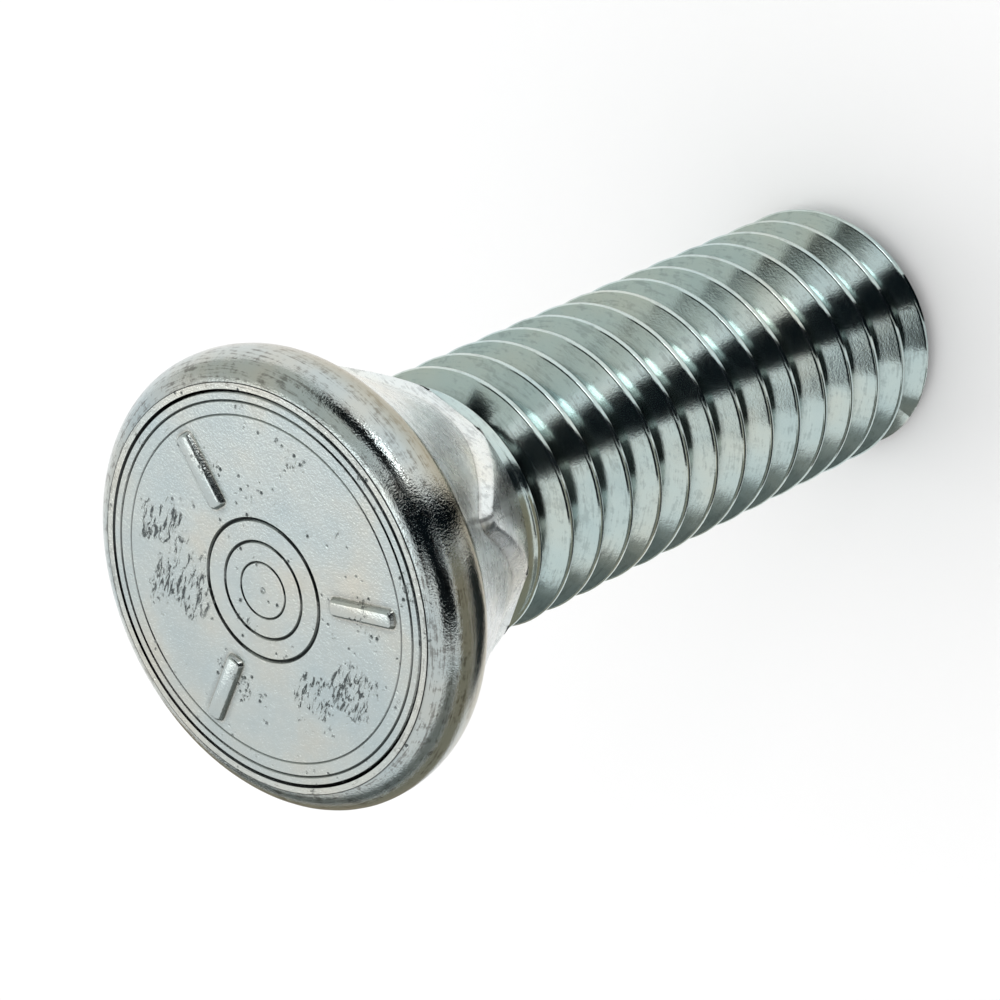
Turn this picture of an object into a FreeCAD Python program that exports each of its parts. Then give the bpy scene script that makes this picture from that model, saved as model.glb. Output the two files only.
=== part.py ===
import FreeCAD, Part
import os
import Sketcher

# Plow bolt: round flat countersunk head, square neck and a fully threaded shank.
# Millimetres. The bolt stands on its threaded end at Z = 0, head up, axis on +Z.

SIZES = {
    "bolt_length": 31.25,
    "thread_radius": 4.7625,
    "thread_pitch": 1.5875,
    "thread_depth": 0.974,
    "thread_crest": 0.198,
    "thread_over": 0.3,
    "thread_gap": 0.962,
    "thread_fade_turns": 0.75,
    "thread_fade_angle": 45,
    "point_chamfer": 0.6,
    "head_radius": 7.93,
    "head_edge": 1.63,
    "rim_back_radius": 7.67,
    "rim_back_depth": 2.23,
    "cone_start_radius": 7.24,
    "cone_start_depth": 2.66,
    "cone_end_depth": 7.05,
    "rim_round": 1.11,
    "neck_half_width": 4.8,
    "neck_corner_round": 0.6,
    "neck_end_depth": 7.6,
    "neck_start_depth": 3.1,
    "neck_end_radius": 4.92,
    "neck_taper_height": 5.6,
    "dash_start": 2.96,
    "dash_length": 2.83,
    "dash_width": 0.86,
    "dash_height": 0.2,
    "dash_angle": 87.0,
}

doc = FreeCAD.newDocument("plow_bolt")
sheet = doc.addObject("Spreadsheet::Sheet", "Sizes")
for row, (alias, value) in enumerate(SIZES.items(), start=1):
    sheet.set("A%d" % row, alias)
    sheet.set("B%d" % row, str(value))
    sheet.setAlias("B%d" % row, alias)
doc.recompute()

body = doc.addObject("PartDesign::Body", "plow_bolt")
body.Label = "plow_bolt"


def origin_plane(role):
    for feature in body.Origin.OriginFeatures:
        if feature.Role == role:
            return feature
    raise RuntimeError("no origin plane " + role)


def new_sketch(name, role, height=None):
    """A sketch on one of the body's own planes, lifted along Z when a height is given."""
    sketch = body.newObject("Sketcher::SketchObject", name)
    sketch.AttachmentSupport = [(origin_plane(role), "")]
    sketch.MapMode = "FlatFace"
    if height:
        sketch.setExpression(".AttachmentOffset.Base.z", height)
    return sketch


def value_of(text):
    """The number a size expression stands for, used only to place the first drawing."""
    total = 0.0
    for term in text.replace("-", "+-").split("+"):
        term = term.strip()
        if not term:
            continue
        sign = 1.0
        if term.startswith("-"):
            sign = -1.0
            term = term[1:].strip()
        for factor in term.split("*"):
            factor = factor.strip()
            if factor.startswith("Sizes."):
                sign *= SIZES[factor[len("Sizes."):]]
            else:
                sign *= float(factor)
        total += sign
    return total


def pin_vertex(sketch, edge, x_text, y_text):
    """Hold the start point of one edge at distances from the sketch origin."""
    for kind, text in (("DistanceX", x_text), ("DistanceY", y_text)):
        number = value_of(text)
        index = sketch.addConstraint(Sketcher.Constraint(kind, -1, 1, edge, 1, number))
        if "Sizes." in text:
            sketch.setExpression("Constraints[%d]" % index, text)


def closed_outline(sketch, corners):
    """A closed outline of straight edges, every corner held by named sizes."""
    points = [FreeCAD.Vector(value_of(x), value_of(y), 0) for x, y in corners]
    first = sketch.GeometryCount
    count = len(points)
    for i in range(count):
        sketch.addGeometry(Part.LineSegment(points[i], points[(i + 1) % count]), False)
    for i in range(count):
        following = first + (i + 1) % count
        sketch.addConstraint(Sketcher.Constraint("Coincident", first + i, 2, following, 1))
    for i, (x_text, y_text) in enumerate(corners):
        pin_vertex(sketch, first + i, x_text, y_text)


# Turned form: chamfered point, shank, cone under the head, thick rim rounded in three steps
TOP = "Sizes.bolt_length"
turned_sketch = new_sketch("turned_sketch", "XZ_Plane")
closed_outline(turned_sketch, [
    ("0", "0"),
    ("Sizes.thread_radius - Sizes.point_chamfer", "0"),
    ("Sizes.thread_radius", "Sizes.point_chamfer"),
    ("Sizes.thread_radius", TOP + " - Sizes.cone_end_depth"),
    ("Sizes.cone_start_radius", TOP + " - Sizes.cone_start_depth"),
    ("Sizes.rim_back_radius", TOP + " - Sizes.rim_back_depth"),
    ("Sizes.head_radius", TOP + " - Sizes.head_edge"),
    ("Sizes.head_radius", TOP + " - Sizes.rim_round"),
    ("Sizes.head_radius - 0.134*Sizes.rim_round", TOP + " - 0.5*Sizes.rim_round"),
    ("Sizes.head_radius - 0.5*Sizes.rim_round", TOP + " - 0.134*Sizes.rim_round"),
    ("Sizes.head_radius - Sizes.rim_round", TOP),
    ("0", TOP),
])
turned = body.newObject("PartDesign::Revolution", "turned")
turned.Profile = turned_sketch
turned.ReferenceAxis = (turned_sketch, ["V_Axis"])
turned.Angle = 360.0
body.Tip = turned

# Square neck: a rounded square that grows out of the cone
neck_sketch = new_sketch("neck_sketch", "XY_Plane", TOP + " - Sizes.neck_end_depth")
half = SIZES["neck_half_width"]
corner = SIZES["neck_corner_round"]
inner = half - corner
sides = (
    ((inner, -half), (-inner, -half)),
    ((-half, -inner), (-half, inner)),
    ((-inner, half), (inner, half)),
    ((half, inner), (half, -inner)),
)
centres = ((-inner, -inner), (-inner, inner), (inner, inner), (inner, -inner))
quarter = 1.5707963267948966
for i in range(4):
    (x1, y1), (x2, y2) = sides[i]
    line = Part.LineSegment(FreeCAD.Vector(x1, y1, 0), FreeCAD.Vector(x2, y2, 0))
    neck_sketch.addGeometry(line, False)
for i in range(4):
    circle = Part.Circle(FreeCAD.Vector(centres[i][0], centres[i][1], 0),
                         FreeCAD.Vector(0, 0, 1), corner)
    start = 2 * quarter - quarter * i
    neck_sketch.addGeometry(Part.ArcOfCircle(circle, start, start + quarter), False)
for i in range(4):
    arc = 4 + i
    neck_sketch.addConstraint(Sketcher.Constraint("Tangent", i, 2, arc, 2))
    neck_sketch.addConstraint(Sketcher.Constraint("Tangent", (i + 1) % 4, 1, arc, 1))
for i in range(3):
    neck_sketch.addConstraint(Sketcher.Constraint("Equal", 4, 5 + i))
for line, axis in ((0, "Horizontal"), (1, "Vertical"), (2, "Horizontal"), (3, "Vertical")):
    neck_sketch.addConstraint(Sketcher.Constraint(axis, line))
for line, kind, sign in ((0, "DistanceY", -1), (1, "DistanceX", -1),
                         (2, "DistanceY", 1), (3, "DistanceX", 1)):
    index = neck_sketch.addConstraint(Sketcher.Constraint(kind, -1, 1, line, 1, sign * half))
    text = "Sizes.neck_half_width" if sign > 0 else "-Sizes.neck_half_width"
    neck_sketch.setExpression("Constraints[%d]" % index, text)
index = neck_sketch.addConstraint(Sketcher.Constraint("Radius", 4, corner))
neck_sketch.setExpression("Constraints[%d]" % index, "Sizes.neck_corner_round")
neck = body.newObject("PartDesign::Pad", "neck")
neck.Profile = neck_sketch
neck.setExpression("Length", "Sizes.neck_end_depth - Sizes.neck_start_depth")
body.Tip = neck

# The four neck corners stand low on the head's cone and run down to the shank at the same slope
taper_sketch = new_sketch("neck_taper_sketch", "XZ_Plane")
LOW = TOP + " - Sizes.neck_end_depth"
closed_outline(taper_sketch, [
    ("Sizes.neck_end_radius", LOW),
    ("Sizes.head_radius", LOW),
    ("Sizes.head_radius", LOW + " + Sizes.neck_taper_height"),
    ("Sizes.neck_end_radius", LOW + " + 0.02"),
])
neck_taper = body.newObject("PartDesign::Groove", "neck_taper")
neck_taper.Profile = taper_sketch
neck_taper.ReferenceAxis = (taper_sketch, ["V_Axis"])
neck_taper.Angle = 360.0
body.Tip = neck_taper

# Three raised radial dashes on the face, the usual strength mark
dash_sketch = new_sketch("dash_sketch", "XY_Plane", TOP + " - Sizes.dash_height")
dash_sketch.setExpression(".AttachmentOffset.Rotation.Angle", "Sizes.dash_angle")
closed_outline(dash_sketch, [
    ("Sizes.dash_start", "-0.5*Sizes.dash_width"),
    ("Sizes.dash_start + Sizes.dash_length", "-0.5*Sizes.dash_width"),
    ("Sizes.dash_start + Sizes.dash_length", "0.5*Sizes.dash_width"),
    ("Sizes.dash_start", "0.5*Sizes.dash_width"),
])
dash = body.newObject("PartDesign::Pad", "dash")
dash.Profile = dash_sketch
dash.setExpression("Length", "2*Sizes.dash_height")
body.Tip = dash
doc.recompute()
dashes = body.newObject("PartDesign::PolarPattern", "dashes")
dashes.Originals = [dash]
dashes.Axis = (dash_sketch, ["N_Axis"])
dashes.Angle = 360.0
dashes.Occurrences = 3
body.Tip = dashes

# Rolled right-hand thread: a V groove swept down from the neck past the point, and up from the
# same section into a last part turn that fades out at the neck
SLOPE = "0.57735"
NECK_SIDE = "Sizes.bolt_length - Sizes.neck_end_depth - Sizes.thread_gap"
FAR = "Sizes.thread_radius + Sizes.thread_over"
DEEP = "Sizes.thread_radius - Sizes.thread_depth"


def helical_groove(name, downward, height, angle):
    """Sweep the groove section, centred below the neck, along the shank's helix."""
    wide = "0.5*Sizes.thread_pitch {0} 0.5*Sizes.thread_crest {1} %s*Sizes.thread_over" % SLOPE
    narrow = "0.5*Sizes.thread_pitch {0} 0.5*Sizes.thread_crest {0} %s*Sizes.thread_depth" % SLOPE
    section = new_sketch(name + "_sketch", "XZ_Plane")
    closed_outline(section, [
        (DEEP, NECK_SIDE + " - " + narrow.format("+")),
        (FAR, NECK_SIDE + " - " + wide.format("+", "-")),
        (FAR, NECK_SIDE + " + " + wide.format("-", "+")),
        (DEEP, NECK_SIDE + " + " + narrow.format("-")),
    ])
    groove = body.newObject("PartDesign::SubtractiveHelix", name)
    groove.Profile = section
    groove.ReferenceAxis = (section, ["V_Axis"])
    groove.Mode = 0
    groove.LeftHanded = False
    groove.Reversed = downward
    groove.setExpression("Pitch", "Sizes.thread_pitch")
    groove.setExpression("Height", height)
    groove.setExpression("Angle", angle)
    body.Tip = groove
    doc.recompute()


helical_groove("thread", True, NECK_SIDE + " + 2*Sizes.thread_pitch", "0")
helical_groove("thread_fade", False, "Sizes.thread_pitch*Sizes.thread_fade_turns",
               "Sizes.thread_fade_angle")
doc.recompute()
for item in doc.Objects:
    for word in ("Invalid", "Error"):
        if word in item.State:
            raise RuntimeError(item.Name + " is " + word)
if body.Shape.isNull() or not body.Shape.isValid() or len(body.Shape.Solids) != 1:
    raise RuntimeError("the bolt is not one valid solid")

os.makedirs("parts", exist_ok=True)
body.Shape.exportStep("parts/" + body.Label + ".step")
print(body.Label, round(body.Shape.Volume, 1), "mm3")
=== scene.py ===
from math import cos, hypot, pi, radians, sin

import bmesh
import bpy
from mathutils import Matrix, Vector


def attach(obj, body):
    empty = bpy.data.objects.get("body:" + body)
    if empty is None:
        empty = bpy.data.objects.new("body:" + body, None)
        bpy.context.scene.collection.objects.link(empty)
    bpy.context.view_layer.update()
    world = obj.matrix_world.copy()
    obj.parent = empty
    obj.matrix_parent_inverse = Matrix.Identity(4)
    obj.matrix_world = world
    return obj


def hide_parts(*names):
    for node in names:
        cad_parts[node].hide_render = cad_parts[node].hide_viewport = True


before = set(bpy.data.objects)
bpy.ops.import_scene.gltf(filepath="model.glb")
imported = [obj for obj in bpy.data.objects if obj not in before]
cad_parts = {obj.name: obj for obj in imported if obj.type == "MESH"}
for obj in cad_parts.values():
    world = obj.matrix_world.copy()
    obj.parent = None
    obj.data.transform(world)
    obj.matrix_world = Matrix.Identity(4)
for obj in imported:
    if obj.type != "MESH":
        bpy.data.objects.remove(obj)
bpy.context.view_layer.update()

# The camera looks down at the head from the photograph's side, rolled so that the upright bolt
# lies across the picture with its threaded end at the upper right.
camera_data = bpy.data.cameras.new("camera")
camera_data.sensor_width = 36.0
camera_data.lens = 159.88
camera_data.clip_start = 0.01
camera = bpy.data.objects.new("camera", camera_data)
bpy.context.collection.objects.link(camera)
camera.location = (-0.06353, -0.08745, 0.12662)
camera.rotation_euler = (radians(-23.236), radians(40.068), radians(-159.381))
bpy.context.scene.camera = camera
bpy.context.scene.view_settings.view_transform = "Standard"


# Head: cold-forged steel, a flat round face inside a thick rolled-over rim, on a cone that seats in
# the countersunk hole. The die leaves ring marks and a centre mark on the face; zinc plate covers
# it, darkened in the hollows by grime and painted shade, scuffed on the face, and tinted warm brown
# on the rim's outer edge as a painted reflection of the dim floor.
MM = 0.001
BOLT_LENGTH = 31.25 * MM
ROUND_STEPS = 192
MERGE = 0.002 * MM

# The head's own sizes are in millimetres, as radius and depth below the face.
RIM_OUTSIDE = (7.93, 0.0)
RIM_EDGE = (7.93, 1.63)
RIM_BACK = (7.67, 2.23)
CONE_START = (7.24, 2.66)
CONE_END = (4.7625, 7.05)
CORE_EDGE = (4.45, 7.4)
CORE_END = (0.0, 7.4)
CENTRE_MARK = ((0.0, 0.05), (0.05, 0.045), (0.12, 0.0))
RING_LIP = 0.02
# Each ring mark is its radius, half its width and its depth.
FACE_RINGS = ((0.97, 0.045, 0.05), (1.68, 0.06, 0.07), (2.44, 0.075, 0.09),
              (5.96, 0.04, 0.03), (6.43, 0.05, 0.05), (6.86, 0.17, 0.17))
# Each rounded edge is its radius and depth, the size of the rounding and its steps.
HEAD_ROUNDINGS = ((*RIM_OUTSIDE, 1.11, 10), (*RIM_EDGE, 0.35, 4), (*RIM_BACK, 0.2, 3),
                  (*CONE_START, 0.1, 2))
# The grime colour also paints shade into the hollows, and the worn-edge cream also paints
# highlights on sharp edges.
GRIME_AND_SHADE = "23292A"
WORN_EDGE_AND_HIGHLIGHT = "EFEBDD"


def linear(hex_colour):
    """An sRGB hex colour as linear numbers with alpha."""
    parts = [int(hex_colour[i:i + 2], 16) / 255 for i in (0, 2, 4)]
    return [c / 12.92 if c <= 0.04045 else ((c + 0.055) / 1.055) ** 2.4 for c in parts] + [1.0]


def add(material, kind, inputs=None, **settings):
    """Add one node to a material or world: settings are its properties, inputs its sockets."""
    node = material.node_tree.nodes.new(kind)
    for name, value in settings.items():
        setattr(node, name, value)
    for name, value in (inputs or {}).items():
        if isinstance(value, bpy.types.NodeSocket):
            material.node_tree.links.new(value, node.inputs[name])
        else:
            node.inputs[name].default_value = value
    return node


def smooth_faces(bm, sharp_from):
    """Smooth shading, with a crisp edge where two faces meet at more than this angle."""
    for face in bm.faces:
        face.smooth = True
    for edge in bm.edges:
        edge.smooth = edge.calc_face_angle(0.0) < radians(sharp_from)


def finish_piece(bm, name, materials, sharp_from):
    """Turn a bmesh into a piece of the bolt that rides with it."""
    bmesh.ops.remove_doubles(bm, verts=bm.verts, dist=MERGE)
    bmesh.ops.recalc_face_normals(bm, faces=bm.faces)
    smooth_faces(bm, sharp_from)
    mesh = bpy.data.meshes.new(name)
    bm.to_mesh(mesh)
    bm.free()
    for material in materials:
        mesh.materials.append(material)
    piece = bpy.data.objects.new(name, mesh)
    bpy.context.collection.objects.link(piece)
    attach(piece, "root")
    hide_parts("plow_bolt")


# Zinc plate: a cool pale metal whose tone and polish change from place to place. Grime and painted
# shade darken the hollows, sharp edges are lightened by wear and a painted highlight, and a
# speckled skin breaks up what the metal mirrors. Pattern scales are features to the millimetre. The
# plate's own crystals are about 0.01 mm, too fine to show, so the grain is drawn at 14 to the
# millimetre.
CLOUDS = 0.26 / MM
PATCHES = 0.7 / MM
GRAIN = 14 / MM
EDGE_REACH = 0.1 * MM


def zinc_plate(name, tones, gloss, skin, waves, hollow_reach, hollow_range, edge_wear_and_highlight):
    pale, cool, warm = tones
    material = bpy.data.materials.new(name)
    material.use_nodes = True
    material.node_tree.nodes.clear()
    place = add(material, "ShaderNodeTexCoord").outputs["Object"]
    cloud = add(material, "ShaderNodeTexNoise", {"Vector": place, "Scale": CLOUDS, "Detail": 5.0})
    patch = add(material, "ShaderNodeTexNoise", {"Vector": place, "Scale": PATCHES, "Detail": 8.0,
                                                 "Roughness": 0.7})
    grain = add(material, "ShaderNodeTexNoise", {"Vector": place, "Scale": GRAIN, "Detail": 2.0,
                                                 "Roughness": 0.6})
    tint = add(material, "ShaderNodeValToRGB", {"Fac": cloud.outputs["Fac"]})
    tint.color_ramp.elements[0].position = 0.32
    tint.color_ramp.elements[0].color = linear(cool)
    tint.color_ramp.elements[1].position = 0.68
    tint.color_ramp.elements[1].color = linear(warm)
    middle = tint.color_ramp.elements.new(0.5)
    middle.color = linear(pale)

    # Painted shade as well as grime: the hollows are darkened towards the grime colour.
    hollow = add(material, "ShaderNodeAmbientOcclusion", {"Distance": hollow_reach}, samples=6)
    grime_and_painted_shade = add(material, "ShaderNodeMapRange", {"Value": hollow.outputs["AO"],
                                                 "From Min": hollow_range[0],
                                                 "From Max": hollow_range[1],
                                                 "To Min": 0.92, "To Max": 0.0})
    colour = add(material, "ShaderNodeMix", {"Factor": grime_and_painted_shade.outputs["Result"],
                                             "A": tint.outputs["Color"]}, data_type="RGBA")
    colour.inputs["B"].default_value = linear(GRIME_AND_SHADE)
    # Painted highlight as well as edge wear: sharp convex edges are lightened towards a pale cream.
    ridge = add(material, "ShaderNodeAmbientOcclusion", {"Distance": EDGE_REACH}, samples=4,
                inside=True)
    wear_and_highlight = add(material, "ShaderNodeMapRange", {"Value": ridge.outputs["AO"],
                                                  "From Min": 0.5, "From Max": 0.85,
                                                  "To Min": edge_wear_and_highlight, "To Max": 0.0})
    colour = add(material, "ShaderNodeMix", {"Factor": wear_and_highlight.outputs["Result"],
                                             "A": colour.outputs["Result"]}, data_type="RGBA")
    colour.inputs["B"].default_value = linear(WORN_EDGE_AND_HIGHLIGHT)
    rough = add(material, "ShaderNodeMapRange", {"Value": patch.outputs["Fac"],
                                                 "From Min": 0.3, "From Max": 0.72,
                                                 "To Min": gloss[0], "To Max": gloss[1]})
    fine = add(material, "ShaderNodeBump", {"Height": grain.outputs["Fac"], "Strength": 1.0,
                                            "Distance": skin})
    wavy = add(material, "ShaderNodeBump", {"Height": patch.outputs["Fac"], "Strength": 0.5,
                                            "Distance": waves,
                                            "Normal": fine.outputs["Normal"]})
    metal = add(material, "ShaderNodeBsdfPrincipled", {
        "Base Color": colour.outputs["Result"], "Metallic": 1.0,
        "Roughness": rough.outputs["Result"], "Normal": wavy.outputs["Normal"]})
    add(material, "ShaderNodeOutputMaterial", {"Surface": metal.outputs["BSDF"]})
    return material


def rewire(material, socket, kind, inputs, **settings):
    """Pass what feeds one socket of the shader through one more node."""
    shader = next(n for n in material.node_tree.nodes
                  if n.bl_idname == "ShaderNodeBsdfPrincipled")
    link = shader.inputs[socket].links[0]
    inputs = {name: link.from_socket if value == "before" else value
              for name, value in inputs.items()}
    node = add(material, kind, inputs, **settings)
    result = next(o for o in node.outputs if o.enabled)
    material.node_tree.links.new(result, shader.inputs[socket])


# Streaks: fine dark lines round the axis, left by dies and by rolling. The pattern changes far more
# slowly round the axis than away from it, which draws its spots out into lines.
SLOW_ROUND = 0.06
MOTTLE = 2.6 / MM
STREAK_FADE_IN = 0.3


def ring_streaks(material, colour, scale, strength, from_radius):
    """Dark ring lines on a material, from this radius in millimetres outwards."""
    place = add(material, "ShaderNodeTexCoord").outputs["Object"]
    parts = add(material, "ShaderNodeSeparateXYZ", {"Vector": place})
    flat = add(material, "ShaderNodeCombineXYZ", {"X": parts.outputs["X"],
                                                  "Y": parts.outputs["Y"]})
    reach = add(material, "ShaderNodeVectorMath", {0: flat.outputs["Vector"]}, operation="LENGTH")
    slow = add(material, "ShaderNodeVectorMath", {0: flat.outputs["Vector"], "Scale": SLOW_ROUND},
               operation="SCALE")
    slow_parts = add(material, "ShaderNodeSeparateXYZ", {"Vector": slow.outputs["Vector"]})
    height = add(material, "ShaderNodeMath", {0: slow_parts.outputs["X"], 1: parts.outputs["Z"]},
                 operation="ADD")
    unrolled = add(material, "ShaderNodeCombineXYZ", {"X": reach.outputs["Value"],
                                                      "Y": height.outputs["Value"],
                                                      "Z": slow_parts.outputs["Y"]})
    lines = add(material, "ShaderNodeTexNoise", {"Vector": unrolled.outputs["Vector"],
                                                 "Scale": scale, "Detail": 4.0,
                                                 "Roughness": 0.7})
    mottle = add(material, "ShaderNodeTexNoise", {"Vector": place, "Scale": MOTTLE, "Detail": 6.0,
                                                  "Roughness": 0.7})
    mixed = add(material, "ShaderNodeMath", {0: lines.outputs["Fac"], 1: mottle.outputs["Fac"]},
                operation="ADD")
    drawn = add(material, "ShaderNodeMapRange", {"Value": mixed.outputs["Value"],
                                                 "From Min": 1.02, "From Max": 1.16})
    from_here = add(material, "ShaderNodeMapRange", {"Value": reach.outputs["Value"],
                                                     "From Min": (from_radius
                                                                  - STREAK_FADE_IN) * MM,
                                                     "From Max": (from_radius
                                                                  + STREAK_FADE_IN) * MM,
                                                     "To Max": strength})
    amount = add(material, "ShaderNodeMath", {0: drawn.outputs["Result"],
                                              1: from_here.outputs["Result"]},
                 operation="MULTIPLY")
    rewire(material, "Base Color", "ShaderNodeMix",
           {"Factor": amount.outputs["Value"], "A": "before", "B": linear(colour)},
           data_type="RGBA")


forged_zinc = zinc_plate("zinc_plated_forged_steel", ("C0C8C6", "B6C3C5", "C9C8BE"),
                         gloss=(0.13, 0.26), skin=0.010 * MM, waves=0.011 * MM,
                         hollow_reach=0.3 * MM, hollow_range=(0.6, 0.95), edge_wear_and_highlight=0.25)

# The face carries two rubbed patches where it has knocked against other bolts, and the rim is
# burnished in rings round the axis. The rim's outer edge is tinted warm brown, a painted reflection
# of the dim floor it mirrors. Each patch is two spots, and each spot is its X, its Y and its reach
# in millimetres.
STREAK_BROWN = "4E473F"
REFLECTED_BROWN = "A3946F"
SCUFF_GREY = "5C6364"
BURNISHED_FROM = 6.9
SCRATCHES = 6.5 / MM
RAGGED_EDGES = 0.9 / MM
PITS = 3 / MM
SCUFFS = ((3.2, 1.9, 1.9), (4.6, 0.6, 1.2), (-4.5, 0.9, 1.3), (-3.2, 2.3, 1.2))
place = add(forged_zinc, "ShaderNodeTexCoord").outputs["Object"]
axis_parts = add(forged_zinc, "ShaderNodeSeparateXYZ", {"Vector": place})
flat = add(forged_zinc, "ShaderNodeCombineXYZ", {"X": axis_parts.outputs["X"],
                                                 "Y": axis_parts.outputs["Y"]})
ring_streaks(forged_zinc, STREAK_BROWN, 12 / MM, 0.6, BURNISHED_FROM)
reach = add(forged_zinc, "ShaderNodeVectorMath", {0: flat.outputs["Vector"]}, operation="LENGTH")
burnish = add(forged_zinc, "ShaderNodeMapRange", {"Value": reach.outputs["Value"],
                                                  "From Min": (BURNISHED_FROM - 0.1) * MM,
                                                  "From Max": (BURNISHED_FROM + 0.1) * MM,
                                                  "To Min": 1.0, "To Max": 0.5})
rewire(forged_zinc, "Roughness", "ShaderNodeMath",
       {0: "before", 1: burnish.outputs["Result"]}, operation="MULTIPLY")
# Painted reflection: the outer edge of the rim is tinted brown for the dim floor that it mirrors.
painted_reflection = add(forged_zinc, "ShaderNodeMapRange", {"Value": axis_parts.outputs["Z"],
                                                "From Min": BOLT_LENGTH - 1.0 * MM,
                                                "From Max": BOLT_LENGTH - 2.0 * MM,
                                                "To Max": 0.7})
rewire(forged_zinc, "Base Color", "ShaderNodeMix",
       {"Factor": painted_reflection.outputs["Result"], "A": "before", "B": linear(REFLECTED_BROWN)},
       data_type="RGBA")
stretched = add(forged_zinc, "ShaderNodeMapping", {"Vector": place,
                                                   "Rotation": (0.0, 0.0, radians(35)),
                                                   "Scale": (1.0, 0.3, 1.0)})
scratches = add(forged_zinc, "ShaderNodeTexNoise", {"Vector": stretched.outputs["Vector"],
                                                    "Scale": SCRATCHES, "Detail": 6.0,
                                                    "Roughness": 0.7, "Distortion": 0.6})
ragged = add(forged_zinc, "ShaderNodeTexNoise", {"Vector": place, "Scale": RAGGED_EDGES,
                                                 "Detail": 5.0, "Roughness": 0.65})
deep = add(forged_zinc, "ShaderNodeMapRange", {"Value": scratches.outputs["Fac"],
                                               "From Min": 0.53, "From Max": 0.59})
on_face = add(forged_zinc, "ShaderNodeMapRange", {"Value": axis_parts.outputs["Z"],
                                                  "From Min": BOLT_LENGTH - 0.15 * MM,
                                                  "From Max": BOLT_LENGTH - 0.05 * MM})
near_scuff = None
for x, y, spot_reach in SCUFFS:
    away = add(forged_zinc, "ShaderNodeVectorMath",
               {0: flat.outputs["Vector"], 1: (x * MM, y * MM, 0.0)}, operation="DISTANCE")
    spot = add(forged_zinc, "ShaderNodeMapRange", {"Value": away.outputs["Value"],
                                                   "From Min": spot_reach * MM,
                                                   "From Max": 0.0})
    near_scuff = spot.outputs["Result"] if near_scuff is None else add(
        forged_zinc, "ShaderNodeMath", {0: near_scuff, 1: spot.outputs["Result"]},
        operation="MAXIMUM").outputs["Value"]
scuff_edge = add(forged_zinc, "ShaderNodeMath", {0: near_scuff, 1: 0.45}, operation="MULTIPLY")
scuff_edge = add(forged_zinc, "ShaderNodeMath", {0: scuff_edge.outputs["Value"],
                                                 1: ragged.outputs["Fac"]}, operation="ADD")
scuffed = add(forged_zinc, "ShaderNodeMapRange", {"Value": scuff_edge.outputs["Value"],
                                                  "From Min": 0.62, "From Max": 0.70})
spots = add(forged_zinc, "ShaderNodeTexVoronoi", {"Vector": place, "Scale": PITS})
pit = add(forged_zinc, "ShaderNodeMapRange", {"Value": spots.outputs["Distance"],
                                              "From Min": 0.10, "From Max": 0.24,
                                              "To Min": 1.0, "To Max": 0.0})
pit_here = add(forged_zinc, "ShaderNodeMapRange", {"Value": ragged.outputs["Fac"],
                                                   "From Min": 0.52, "From Max": 0.6})
pitted = add(forged_zinc, "ShaderNodeMath", {0: pit.outputs["Result"],
                                             1: pit_here.outputs["Result"]},
             operation="MULTIPLY")
rubbed_off = add(forged_zinc, "ShaderNodeMath", {0: deep.outputs["Result"],
                                                 1: scuffed.outputs["Result"]},
                 operation="MULTIPLY")
rubbed_off = add(forged_zinc, "ShaderNodeMath", {0: rubbed_off.outputs["Value"],
                                                 1: pitted.outputs["Value"]},
                 operation="MAXIMUM")
rubbed_off = add(forged_zinc, "ShaderNodeMath", {0: rubbed_off.outputs["Value"],
                                                 1: on_face.outputs["Result"]},
                 operation="MULTIPLY")
rewire(forged_zinc, "Base Color", "ShaderNodeMix",
       {"Factor": rubbed_off.outputs["Value"], "A": "before", "B": linear(SCUFF_GREY)},
       data_type="RGBA")
rewire(forged_zinc, "Normal", "ShaderNodeBump",
       {"Height": rubbed_off.outputs["Value"], "Strength": 1.0, "Distance": 0.03 * MM,
        "Normal": "before"}, invert=True)

# Under the rim the plate is more satin, and its paler tones are painted light that makes up for the
# shaded floor this part mirrors.
satin_zinc_painted_light = zinc_plate("zinc_plated_satin_cone_painted_light", ("EEF3F1", "DFE9EB", "F0EEE2"),
                        gloss=(0.2, 0.34), skin=0.008 * MM, waves=0.02 * MM,
                        hollow_reach=0.2 * MM, hollow_range=(0.78, 0.93), edge_wear_and_highlight=0.1)
STREAK_GREY = "6C7272"
ring_streaks(satin_zinc_painted_light, STREAK_GREY, 9 / MM, 0.35, 1.0)


def turned(outline):
    """A form turned round the bolt's axis from an outline in millimetres below the face."""
    bm = bmesh.new()
    points = [bm.verts.new((radius * MM, 0.0, BOLT_LENGTH - depth * MM))
              for radius, depth in outline]
    edges = [bm.edges.new(pair) for pair in zip(points, points[1:])]
    bmesh.ops.spin(bm, geom=points + edges, cent=(0, 0, 0), axis=(0, 0, 1), dvec=(0, 0, 0),
                   angle=2 * pi, steps=ROUND_STEPS, use_merge=True)
    bmesh.ops.remove_doubles(bm, verts=bm.verts, dist=MERGE)
    return bm


def ring_of_edges(bm, radius, height):
    """The edges that run round the axis at this radius and height."""
    near = 0.01 * MM
    return [edge for edge in bm.edges
            if all(abs(hypot(v.co.x, v.co.y) - radius) < near and abs(v.co.z - height) < near
                   for v in edge.verts)]


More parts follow.
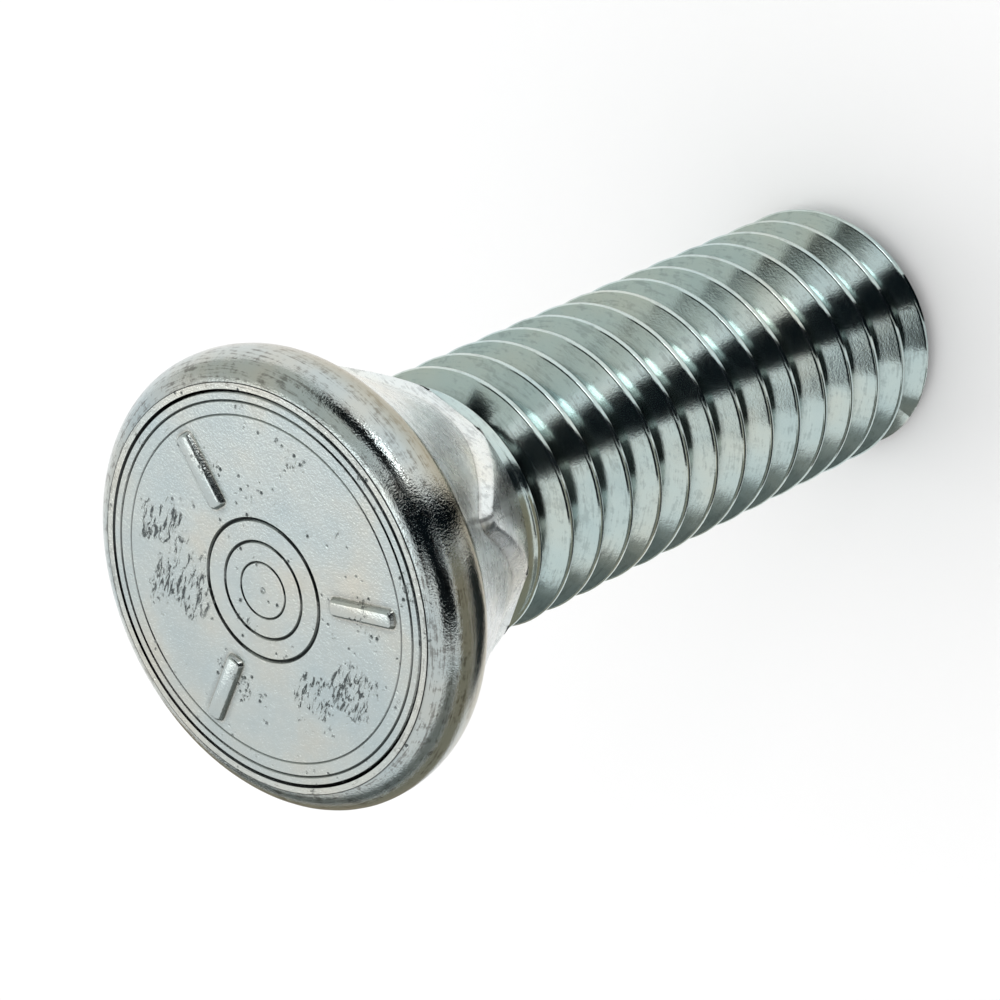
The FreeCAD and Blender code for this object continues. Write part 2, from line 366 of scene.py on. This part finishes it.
outline = list(CENTRE_MARK)
for radius, half_width, depth in FACE_RINGS:
    inner, outer = radius - half_width, radius + half_width
    outline += [(inner - RING_LIP, 0.0), (inner, 0.0), (radius, depth), (outer, 0.0),
                (outer + RING_LIP, 0.0)]
head = turned(outline + [RIM_OUTSIDE, RIM_EDGE, RIM_BACK, CONE_START, CONE_END, CORE_EDGE,
                         CORE_END])
for radius, depth, size, steps in HEAD_ROUNDINGS:
    rim = ring_of_edges(head, radius * MM, BOLT_LENGTH - depth * MM)
    bmesh.ops.bevel(head, geom=rim, offset=size * MM, offset_type="OFFSET", affect="EDGES",
                    segments=steps, profile=0.5, material=-1)
for face in head.faces:
    under_rim = face.calc_center_median().z < BOLT_LENGTH - CONE_START[1] * MM
    face.material_index = int(under_rim)
finish_piece(head, "bolt_head", (forged_zinc, satin_zinc_painted_light), 30)


# Square neck: forged with the head, so it grows out of the cone. Its flats stop the bolt from
# turning in a square hole; its corners stand low on the cone and run down to the shank.
NECK_HALF_WIDTH = 4.8 * MM
NECK_BOTTOM = BOLT_LENGTH - 7.6 * MM
NECK_CORNER = 0.6 * MM
NECK_EDGE = 0.12 * MM
NECK_CORE = 4 * MM
NECK_SHARP = 20
# Cutting every 15 degrees gives the four flats and the facets that round the corners.
NECK_CUT_STEP = 15
NECK_OUTLINE = ((0.0, 3.1), (7.0, 3.1), (7.0, 3.69), (4.9, 7.6), (0.0, 7.6))

neck = turned(NECK_OUTLINE)
for angle in range(0, 360, NECK_CUT_STEP):
    side = Vector((cos(radians(angle)), sin(radians(angle)), 0.0))
    reach = (NECK_HALF_WIDTH - NECK_CORNER) * (abs(side.x) + abs(side.y)) + NECK_CORNER
    bmesh.ops.bisect_plane(neck, geom=neck.verts[:] + neck.edges[:] + neck.faces[:],
                           plane_co=side * reach, plane_no=side, clear_outer=True)
    bmesh.ops.holes_fill(neck, edges=[e for e in neck.edges if e.is_boundary], sides=0)
bmesh.ops.recalc_face_normals(neck, faces=neck.faces)
crisp = [e for e in neck.edges if e.calc_face_angle(0.0) > radians(NECK_SHARP)
         and hypot(*((e.verts[0].co + e.verts[1].co) / 2).xy) > NECK_CORE]
bmesh.ops.bevel(neck, geom=crisp, offset=NECK_EDGE, offset_type="OFFSET", affect="EDGES",
                segments=2, profile=0.5, material=-1)
finish_piece(neck, "square_neck", (satin_zinc_painted_light,), 50)


# Threaded shank: the coarse right-hand thread is rolled into the blank, which pushes its crests
# up past the blank's own radius. It fades into the plain blank just under the neck.
THREAD_RADIUS = 4.7625 * MM
THREAD_PITCH = 1.5875 * MM
THREAD_DEPTH = 0.974 * MM
BLANK_RADIUS = 4.5 * MM
ROOT_HALF = 0.1324 * MM
FLANK = 0.5623 * MM
CREST = 0.198 * MM
THREAD_EDGE = 0.08 * MM
THREAD_MERGE = 0.004 * MM
GROOVE_AT_FRONT = BOLT_LENGTH - 8.562 * MM
STEPS_PER_TURN = 96
TURNS = 17
SHANK_TOP = NECK_BOTTOM + 0.1 * MM
FADE_START = SHANK_TOP - 1.65 * MM
FADE_LENGTH = 1.55 * MM
POINT_CHAMFER = 0.6 * MM
STREAK_GREEN = "566060"

# Rolling presses the metal smooth, so the thread mirrors more sharply than the forged head. Its
# roots are darkened by grime and painted shade, and its crests are lightened by wear and a painted
# highlight.
rolled_zinc = zinc_plate("zinc_plated_rolled_thread", ("C6D6D3", "BACECE", "CED6CD"),
                         gloss=(0.10, 0.17), skin=0.0018 * MM, waves=0.004 * MM,
                         hollow_reach=0.8 * MM, hollow_range=(0.5, 0.72), edge_wear_and_highlight=0.35)
ring_streaks(rolled_zinc, STREAK_GREEN, 8 / MM, 0.25, 1.0)

# One turn of the groove's section is swept round the axis, then copied up the shank.
shank = bmesh.new()
low = GROOVE_AT_FRONT - (TURNS - 1) * THREAD_PITCH
section = [(THREAD_RADIUS - THREAD_DEPTH, 0.0),
           (THREAD_RADIUS - THREAD_DEPTH, ROOT_HALF),
           (THREAD_RADIUS, ROOT_HALF + FLANK),
           (THREAD_RADIUS, ROOT_HALF + FLANK + CREST),
           (THREAD_RADIUS - THREAD_DEPTH, ROOT_HALF + 2 * FLANK + CREST),
           (THREAD_RADIUS - THREAD_DEPTH, THREAD_PITCH)]
points = [shank.verts.new((r, 0.0, low + z)) for r, z in section]
edges = [shank.edges.new(pair) for pair in zip(points, points[1:])]
bmesh.ops.bevel(shank, geom=points[1:-1], offset=THREAD_EDGE, offset_type="OFFSET",
                affect="VERTICES", segments=3, profile=0.5, material=-1)
bmesh.ops.spin(shank, geom=shank.verts[:] + shank.edges[:], cent=(0, 0, 0), axis=(0, 0, 1),
               dvec=(0, 0, THREAD_PITCH / STEPS_PER_TURN), angle=2 * pi, steps=STEPS_PER_TURN)
one_turn = shank.verts[:] + shank.edges[:] + shank.faces[:]
for turn in range(1, TURNS):
    copied = bmesh.ops.duplicate(shank, geom=one_turn)["geom"]
    bmesh.ops.translate(shank, vec=(0, 0, turn * THREAD_PITCH),
                        verts=[part for part in copied if isinstance(part, bmesh.types.BMVert)])
bmesh.ops.remove_doubles(shank, verts=shank.verts, dist=THREAD_MERGE)
for cut, facing in ((0.0, -1), (SHANK_TOP, 1)):
    bmesh.ops.bisect_plane(shank, geom=shank.verts[:] + shank.edges[:] + shank.faces[:],
                           plane_co=(0, 0, cut), plane_no=(0, 0, facing), clear_outer=True)
for vert in shank.verts:
    fade = min(max((vert.co.z - FADE_START) / FADE_LENGTH, 0.0), 1.0)
    reach = hypot(vert.co.x, vert.co.y)
    wanted = reach + (BLANK_RADIUS - reach) * fade
    vert.co.x *= wanted / reach
    vert.co.y *= wanted / reach
# The thread's own end is chamfered at 45 degrees.
for vert in shank.verts:
    reach = hypot(vert.co.x, vert.co.y)
    limit = THREAD_RADIUS - POINT_CHAMFER + max(vert.co.z, 0.0)
    if reach > limit:
        vert.co.x *= limit / reach
        vert.co.y *= limit / reach
bmesh.ops.holes_fill(shank, edges=[e for e in shank.edges if e.is_boundary], sides=0)
finish_piece(shank, "threaded_shank", (rolled_zinc,), 50)


# Strength mark: three short raised dashes at even angles, pressed up by the heading die.
DASH_START = 2.96 * MM
DASH_LENGTH = 2.83 * MM
DASH_WIDTH = 0.86 * MM
DASH_HEIGHT = 0.2 * MM
DASH_ANGLES = (87, 207, 327)
DASH_TOP_SHARE = 0.6
DASH_END_SLOPE = 0.12 * MM
DASH_CORNER = 0.16 * MM
DASH_BROW = 0.08 * MM

dashes = bmesh.new()
for angle in DASH_ANGLES:
    turn = Matrix.Rotation(radians(angle), 4, "Z")
    spot = Matrix.LocRotScale(Vector((DASH_START + DASH_LENGTH / 2, 0, BOLT_LENGTH)), None,
                              Vector((DASH_LENGTH, DASH_WIDTH, 2 * DASH_HEIGHT)))
    made = bmesh.ops.create_cube(dashes, size=1.0, matrix=turn @ spot)["verts"]
    for vert in made:
        if vert.co.z > BOLT_LENGTH:
            along = turn.inverted() @ vert.co
            along.y *= DASH_TOP_SHARE
            at_start = along.x < DASH_START + 0.01 * MM
            along.x += DASH_END_SLOPE if at_start else -DASH_END_SLOPE
            vert.co = turn @ along
    corners = [e for e in dashes.edges if e.verts[0] in made and e.verts[1] in made
               and abs(e.verts[0].co.z - e.verts[1].co.z) > DASH_HEIGHT]
    bmesh.ops.bevel(dashes, geom=corners, offset=DASH_CORNER, offset_type="OFFSET",
                    affect="EDGES", segments=4, profile=0.5, material=-1)
brow = [e for e in dashes.edges if len(e.link_faces) == 2
        and all(v.co.z > BOLT_LENGTH + 0.9 * DASH_HEIGHT for v in e.verts)]
bmesh.ops.bevel(dashes, geom=brow, offset=DASH_BROW, offset_type="OFFSET", affect="EDGES",
                segments=3, profile=0.5, material=-1)
finish_piece(dashes, "strength_dashes", (forged_zinc,), 40)


# Floor: a seamless pale sheet of studio paper that the bolt stands on.
def paper(name, colour):
    """Plain matt paper for the studio."""
    material = bpy.data.materials.new(name)
    material.use_nodes = True
    shader = material.node_tree.nodes["Principled BSDF"]
    shader.inputs["Base Color"].default_value = linear(colour)
    shader.inputs["Roughness"].default_value = 1.0
    shader.inputs["Specular IOR Level"].default_value = 0.0
    return material


floor_mesh = bmesh.new()
bmesh.ops.create_grid(floor_mesh, x_segments=1, y_segments=1, size=3.0)
mesh = bpy.data.meshes.new("studio_floor")
floor_mesh.to_mesh(mesh)
floor_mesh.free()
floor = bpy.data.objects.new("studio_floor", mesh)
bpy.context.collection.objects.link(floor)
mesh.materials.append(paper("pale_paper", "FAFAFA"))


# Light tent: an even white surround and two soft lamps. Dark and grey cards stand round the bolt
# for the polished metal to mirror; they throw no shadow and the camera does not see them.
world = bpy.data.worlds.new("light_tent")
bpy.context.scene.world = world
world.use_nodes = True
world.node_tree.nodes.clear()
path = add(world, "ShaderNodeLightPath")
level = add(world, "ShaderNodeMapRange", {"Value": path.outputs["Is Glossy Ray"],
                                          "To Min": 1.0, "To Max": 0.9})
tent = add(world, "ShaderNodeBackground", {"Color": linear("FFFFFF"),
                                           "Strength": level.outputs["Result"]})
add(world, "ShaderNodeOutputWorld", {"Surface": tent.outputs["Background"]})

CAMERA_AZIMUTH = -126.0
MIDDLE = Vector((0, 0, 0.02))
LAMP_DISTANCE = 0.55
MAT_LIFT = Vector((0, 0, 0.0003))


def direction(azimuth, elevation):
    """A unit vector; azimuth 0 is the camera's side and grows towards the picture's bottom."""
    turn = radians(CAMERA_AZIMUTH - azimuth)
    up = radians(elevation)
    return Vector((cos(turn) * cos(up), sin(turn) * cos(up), sin(up)))


def lamp(name, azimuth, elevation, width, length, watts):
    """A soft rectangular lamp that faces the bolt."""
    data = bpy.data.lights.new(name, "AREA")
    data.shape = "RECTANGLE"
    data.size = width
    data.size_y = length
    data.energy = watts
    light = bpy.data.objects.new(name, data)
    light.location = MIDDLE + direction(azimuth, elevation) * LAMP_DISTANCE
    light.rotation_euler = (MIDDLE - light.location).to_track_quat("-Z", "Y").to_euler()
    bpy.context.collection.objects.link(light)


def place_card(sheet, name, colour):
    """Hang a sheet of paper that only mirrors see."""
    mesh = bpy.data.meshes.new(name)
    sheet.to_mesh(mesh)
    sheet.free()
    mesh.materials.append(paper(name + "_paper", colour))
    piece = bpy.data.objects.new(name, mesh)
    bpy.context.collection.objects.link(piece)
    piece.visible_camera = False
    piece.visible_diffuse = False
    piece.visible_shadow = False


def card(name, colour, azimuth, low, high, left, right, distance):
    """A sheet bowed round the bolt from one elevation to another, this wide to each side."""
    side = direction(azimuth + 90, 0)
    sheet = bmesh.new()
    start = MIDDLE + direction(azimuth, low) * distance
    ends = [sheet.verts.new(start + side * offset) for offset in (left, right)]
    bmesh.ops.spin(sheet, geom=ends + [sheet.edges.new(ends)], cent=MIDDLE, axis=side,
                   dvec=(0, 0, 0), angle=radians(high - low), steps=24)
    place_card(sheet, name, colour)


def floor_mat(name, colour, first, last, near, far):
    """A wedge of paper on the floor, between two azimuths and two distances."""
    sheet = bmesh.new()
    ends = [sheet.verts.new(MAT_LIFT + direction(first, 0) * reach) for reach in (near, far)]
    bmesh.ops.spin(sheet, geom=ends + [sheet.edges.new(ends)], cent=(0, 0, 0), axis=(0, 0, 1),
                   dvec=(0, 0, 0), angle=-radians(last - first), steps=8)
    place_card(sheet, name, colour)


lamp("soft_lamp_back", -158, 62, 0.2, 0.3, 0.32)
lamp("soft_lamp_left", -30, 14, 0.16, 0.09, 0.2)

card("dark_card", "0C1216", 0, -2, 86, -0.105, 0.125, 0.5)
card("dark_flag", "14181A", -42, 19, 50, -0.23, 0.17, 0.48)
card("grey_card_left", "C6CAC6", -105, 3, 76, -0.30, 0.30, 0.52)
card("dark_flag_right", "14181A", 27, 4, 54, -0.08, 0.22, 0.48)
card("grey_card_right", "6C706E", 145, 0, 26, -0.22, 0.22, 0.5)
card("grey_card_low", "7E807C", 92, -1, 30, -0.24, 0.3, 0.51)

# The mats are what the lower sides mirror: dark and brownish sheets that stand in as painted shade
# for the dim floor on the camera side.
floor_mat("dark_mat", "0C1216", -8, 16, 0.003, 0.49)
floor_mat("dark_mat_low", "30363A", 26, 96, 0.011, 0.034)
floor_mat("brown_mat", "8A8474", 18, 175, 0.036, 0.49)
